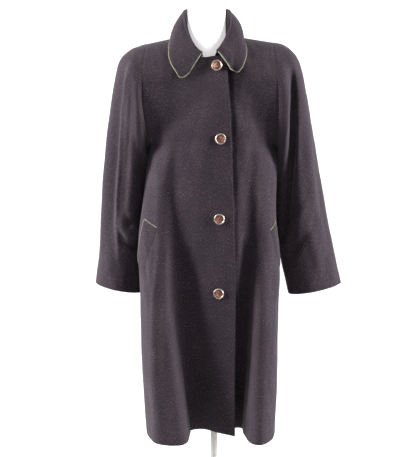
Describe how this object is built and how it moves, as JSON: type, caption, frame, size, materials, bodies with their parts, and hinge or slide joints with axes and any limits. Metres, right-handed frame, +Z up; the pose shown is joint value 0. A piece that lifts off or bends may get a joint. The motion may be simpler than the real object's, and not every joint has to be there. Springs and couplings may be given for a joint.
{
  "type": "loden coat on a dress form",
  "caption": "Buttoned mid-calf wool coat with set-in sleeves, turn-down piped collar and slanted pockets, worn open-cuffed by a limbless form on a pole with a round base.",
  "frame": {"origin": "on the floor under the middle of the stand's base", "axes": "+Z up, -Y the way the coat faces, +X towards the wearer's left side"},
  "size_m": [0.6862, 0.3808, 1.5023],
  "materials": {
    "loden": "fulled wool cloth, dark plum grey with lighter fibres",
    "piping": "narrow corded piping, pale olive",
    "button": "domed antique centre with a bright raised rim",
    "form": "smooth white covering",
    "stand": "off-white paint, satin"
  },
  "bodies": {
    "root": {"front_right": "loden", "front_left": "loden", "back": "loden", "sleeve_right": "loden", "sleeve_left": "loden", "collar": "loden", "collar_piping": "piping", "pocket_welt_right": "loden", "pocket_welt_left": "loden", "pocket_piping_right": "piping", "pocket_piping_left": "piping", "button_1": "button", "button_2": "button", "button_3": "button", "button_4": "button", "form_torso": "form", "form_cap": "form", "form_pole": "stand", "form_base": "stand"}
  },
  "joints": []
}
